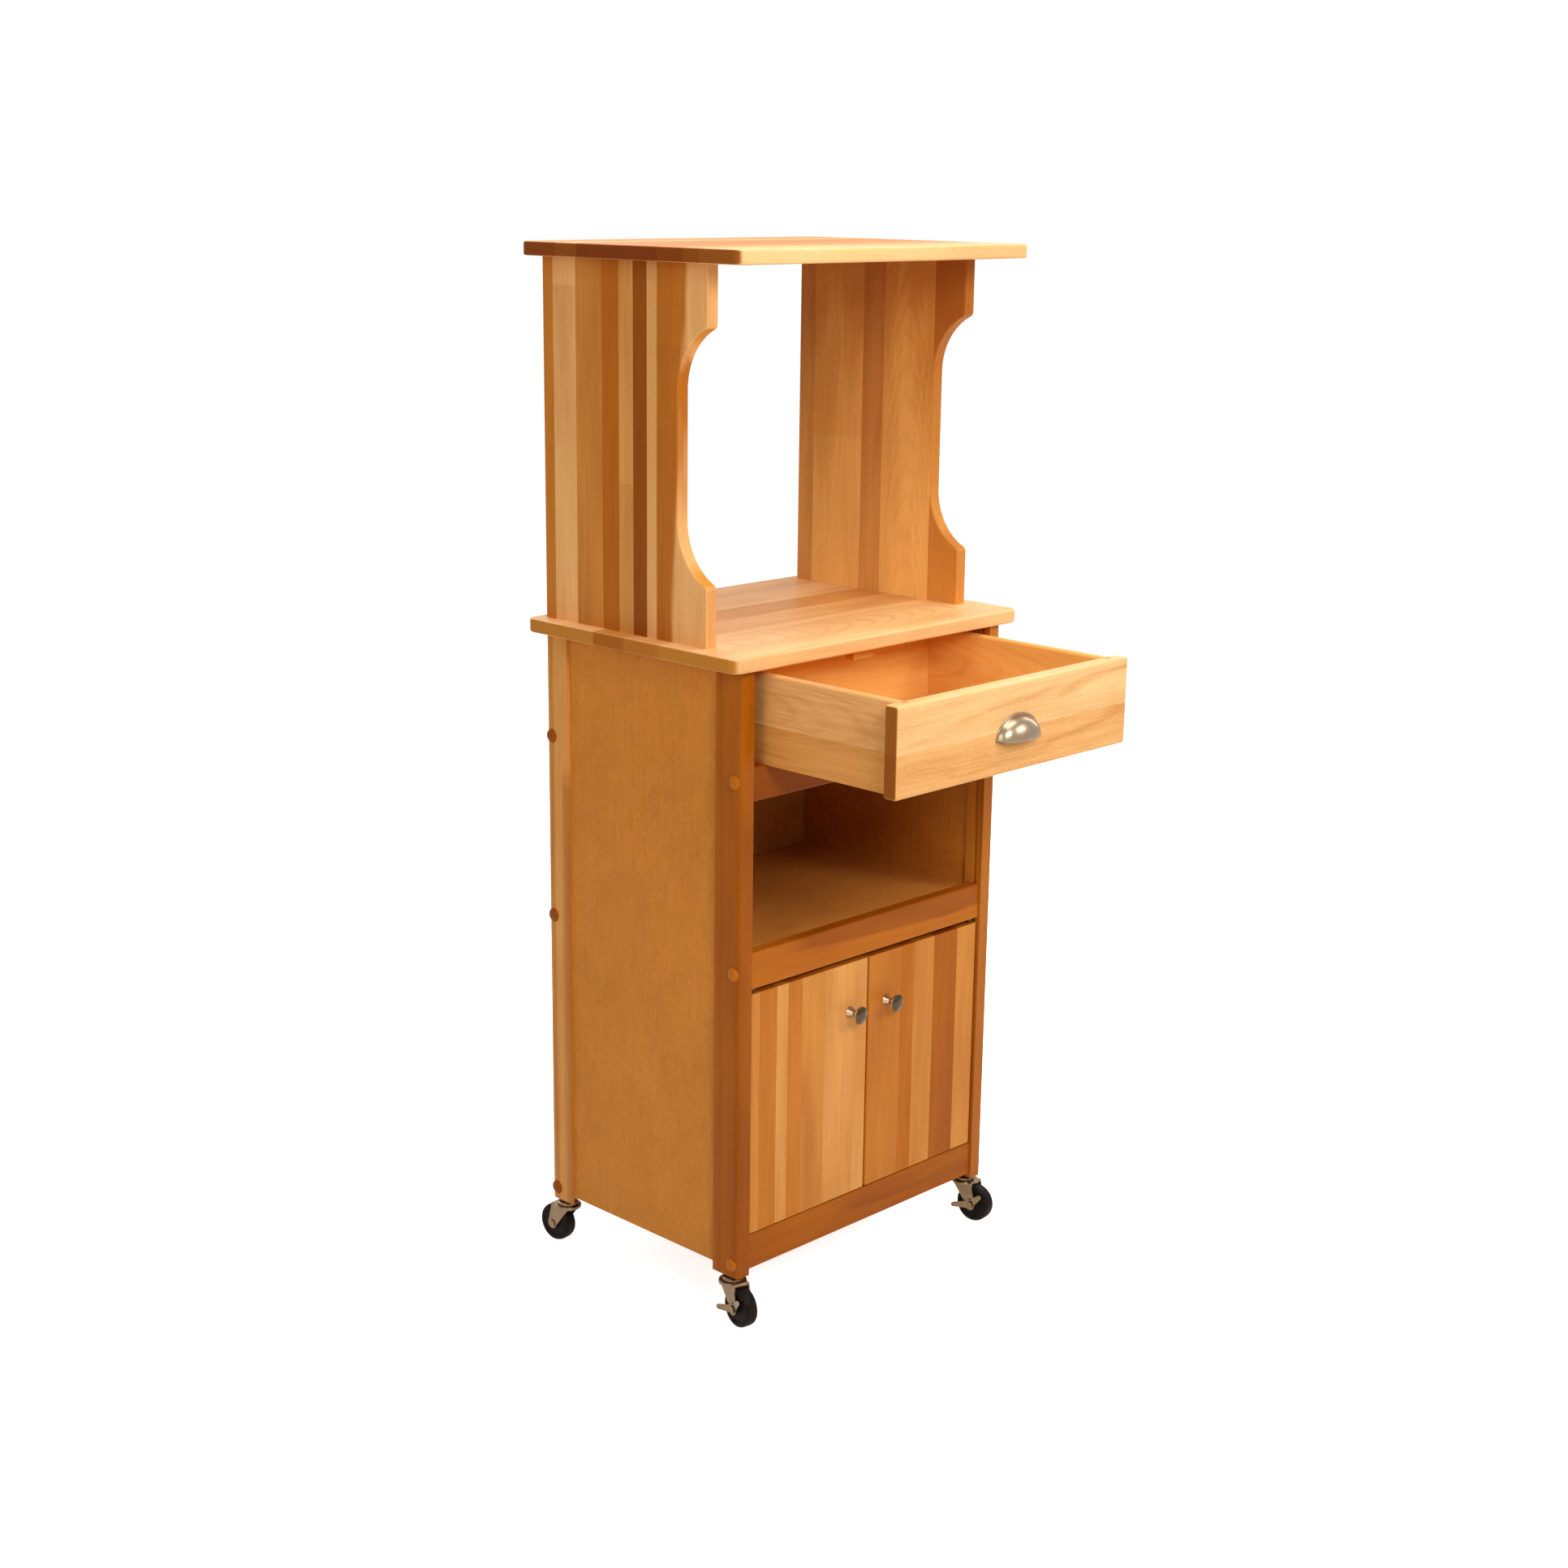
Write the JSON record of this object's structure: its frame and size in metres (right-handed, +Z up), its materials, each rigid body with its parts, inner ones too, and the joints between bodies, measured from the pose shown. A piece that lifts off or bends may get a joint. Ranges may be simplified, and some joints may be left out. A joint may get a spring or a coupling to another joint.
{
  "type": "microwave stand with drawer",
  "caption": "Rolling wooden microwave stand: a cabinet with doors, an open bay and a drawer under the counter, and an open hutch above it for the oven.",
  "frame": {"origin": "centre of the bounding box at floor level, with the drawer open as stored", "axes": "+Z up from the floor, +X to the right as seen from the front, -Y towards the front, where the drawer and the doors open"},
  "size_m": [0.5624, 0.6746, 1.4301],
  "materials": {
    "birch_board": "satin",
    "birch_rail": "satin",
    "birch_ply": "satin",
    "birch_door": "satin",
    "birch_drawer": "satin",
    "softwood_strip": "matte",
    "cap_plastic": "gloss",
    "brushed_nickel": "brushed",
    "zinc_steel": "bright zinc",
    "screw_steel": "zinc",
    "wheel_rubber": "satin",
    "bush_nylon": "matte",
    "catch_plastic": "matte"
  },
  "bodies": {
    "cabinet": {"counter_board": "birch_board", "hutch_top_board": "birch_board", "hutch_side_left": "birch_board", "hutch_side_right": "birch_board", "post_front_left": "birch_rail", "post_front_right": "birch_rail", "post_rear_left": "birch_rail", "post_rear_right": "birch_rail", "side_panel_left": "birch_ply", "side_panel_right": "birch_ply", "back_panel": "birch_ply", "drawer_rail": "birch_rail", "shelf_rail": "birch_rail", "bottom_rail": "birch_rail", "rear_rail_upper": "birch_rail", "rear_rail_middle": "birch_rail", "rear_rail_lower": "birch_rail", "open_shelf": "birch_ply", "cabinet_floor": "birch_ply", "drawer_guide_left": "softwood_strip", "drawer_guide_right": "softwood_strip", "shelf_cleats": "softwood_strip", "floor_cleats": "softwood_strip", "counter_cleats": "softwood_strip", "drawer_stop_block": "softwood_strip", "button_caps": "cap_plastic", "rail_screws": "screw_steel", "wood_dowels": "softwood_strip", "door_bushes": "bush_nylon", "door_catches": "catch_plastic", "caster_stems": "zinc_steel", "caster_race_caps": "zinc_steel"},
    "drawer": {"drawer_front": "birch_drawer", "drawer_side_left": "birch_drawer", "drawer_side_right": "birch_drawer", "drawer_back": "birch_drawer", "drawer_bottom": "birch_ply", "cup_pull": "brushed_nickel", "cup_pull_screws": "screw_steel"},
    "door_left": {"door_left": "birch_door", "knob_left": "brushed_nickel", "knob_screw_left": "screw_steel", "door_pins_left": "screw_steel", "catch_plate_left": "screw_steel"},
    "door_right": {"door_right": "birch_door", "knob_right": "brushed_nickel", "knob_screw_right": "screw_steel", "door_pins_right": "screw_steel", "catch_plate_right": "screw_steel"},
    "caster_swivel_fl": {"caster_fork_fl": "zinc_steel"},
    "wheel_fl": {"caster_wheel_fl": "wheel_rubber"},
    "brake_fl": {"brake_lever_fl": "zinc_steel"},
    "caster_swivel_fr": {"caster_fork_fr": "zinc_steel"},
    "wheel_fr": {"caster_wheel_fr": "wheel_rubber"},
    "brake_fr": {"brake_lever_fr": "zinc_steel"},
    "caster_swivel_rl": {"caster_fork_rl": "zinc_steel"},
    "wheel_rl": {"caster_wheel_rl": "wheel_rubber"},
    "caster_swivel_rr": {"caster_fork_rr": "zinc_steel"},
    "wheel_rr": {"caster_wheel_rr": "wheel_rubber"}
  },
  "joints": [
    {"name": "drawer_slide", "type": "slide", "parent": "cabinet", "child": "drawer", "axis": [0, -1, 0], "range_m": [-0.2445, 0.0394]},
    {"name": "door_left_hinge", "type": "hinge", "parent": "cabinet", "child": "door_left", "pos_m": [-0.2221, -0.06334, 0.128], "axis": [0, 0, -1], "range_deg": [0, 100]},
    {"name": "door_right_hinge", "type": "hinge", "parent": "cabinet", "child": "door_right", "pos_m": [0.2221, -0.06334, 0.128], "axis": [0, 0, 1], "range_deg": [0, 100]},
    {"name": "castor_fl_swivel", "type": "hinge", "parent": "cabinet", "child": "caster_swivel_fl", "pos_m": [-0.2453, -0.05434, 0.0614], "axis": [0, 0, 1], "continuous": true},
    {"name": "castor_fl_spin", "type": "hinge", "parent": "caster_swivel_fl", "child": "wheel_fl", "pos_m": [-0.24886, -0.07452, 0.0275], "axis": [0.9848, -0.1736, 0], "continuous": true},
    {"name": "castor_fl_brake", "type": "hinge", "parent": "caster_swivel_fl", "child": "brake_fl", "pos_m": [-0.24886, -0.07452, 0.0275], "axis": [0.9848, -0.1736, 0], "range_deg": [0, 54]},
    {"name": "castor_fr_swivel", "type": "hinge", "parent": "cabinet", "child": "caster_swivel_fr", "pos_m": [0.2453, -0.05434, 0.0614], "axis": [0, 0, 1], "continuous": true},
    {"name": "castor_fr_spin", "type": "hinge", "parent": "caster_swivel_fr", "child": "wheel_fr", "pos_m": [0.24709, -0.07476, 0.0275], "axis": [0.9962, 0.0872, 0], "continuous": true},
    {"name": "castor_fr_brake", "type": "hinge", "parent": "caster_swivel_fr", "child": "brake_fr", "pos_m": [0.24709, -0.07476, 0.0275], "axis": [0.9962, 0.0872, 0], "range_deg": [0, 54]},
    {"name": "castor_rl_swivel", "type": "hinge", "parent": "cabinet", "child": "caster_swivel_rl", "pos_m": [-0.2453, 0.28896, 0.0614], "axis": [0, 0, 1], "continuous": true},
    {"name": "castor_rl_spin", "type": "hinge", "parent": "caster_swivel_rl", "child": "wheel_rl", "pos_m": [-0.24673, 0.30941, 0.0275], "axis": [-0.9976, -0.0698, 0], "continuous": true},
    {"name": "castor_rr_swivel", "type": "hinge", "parent": "cabinet", "child": "caster_swivel_rr", "pos_m": [0.2453, 0.28896, 0.0614], "axis": [0, 0, 1], "continuous": true},
    {"name": "castor_rr_spin", "type": "hinge", "parent": "caster_swivel_rr", "child": "wheel_rr", "pos_m": [0.24886, 0.30915, 0.0275], "axis": [-0.9848, 0.1736, 0], "continuous": true}
  ]
}
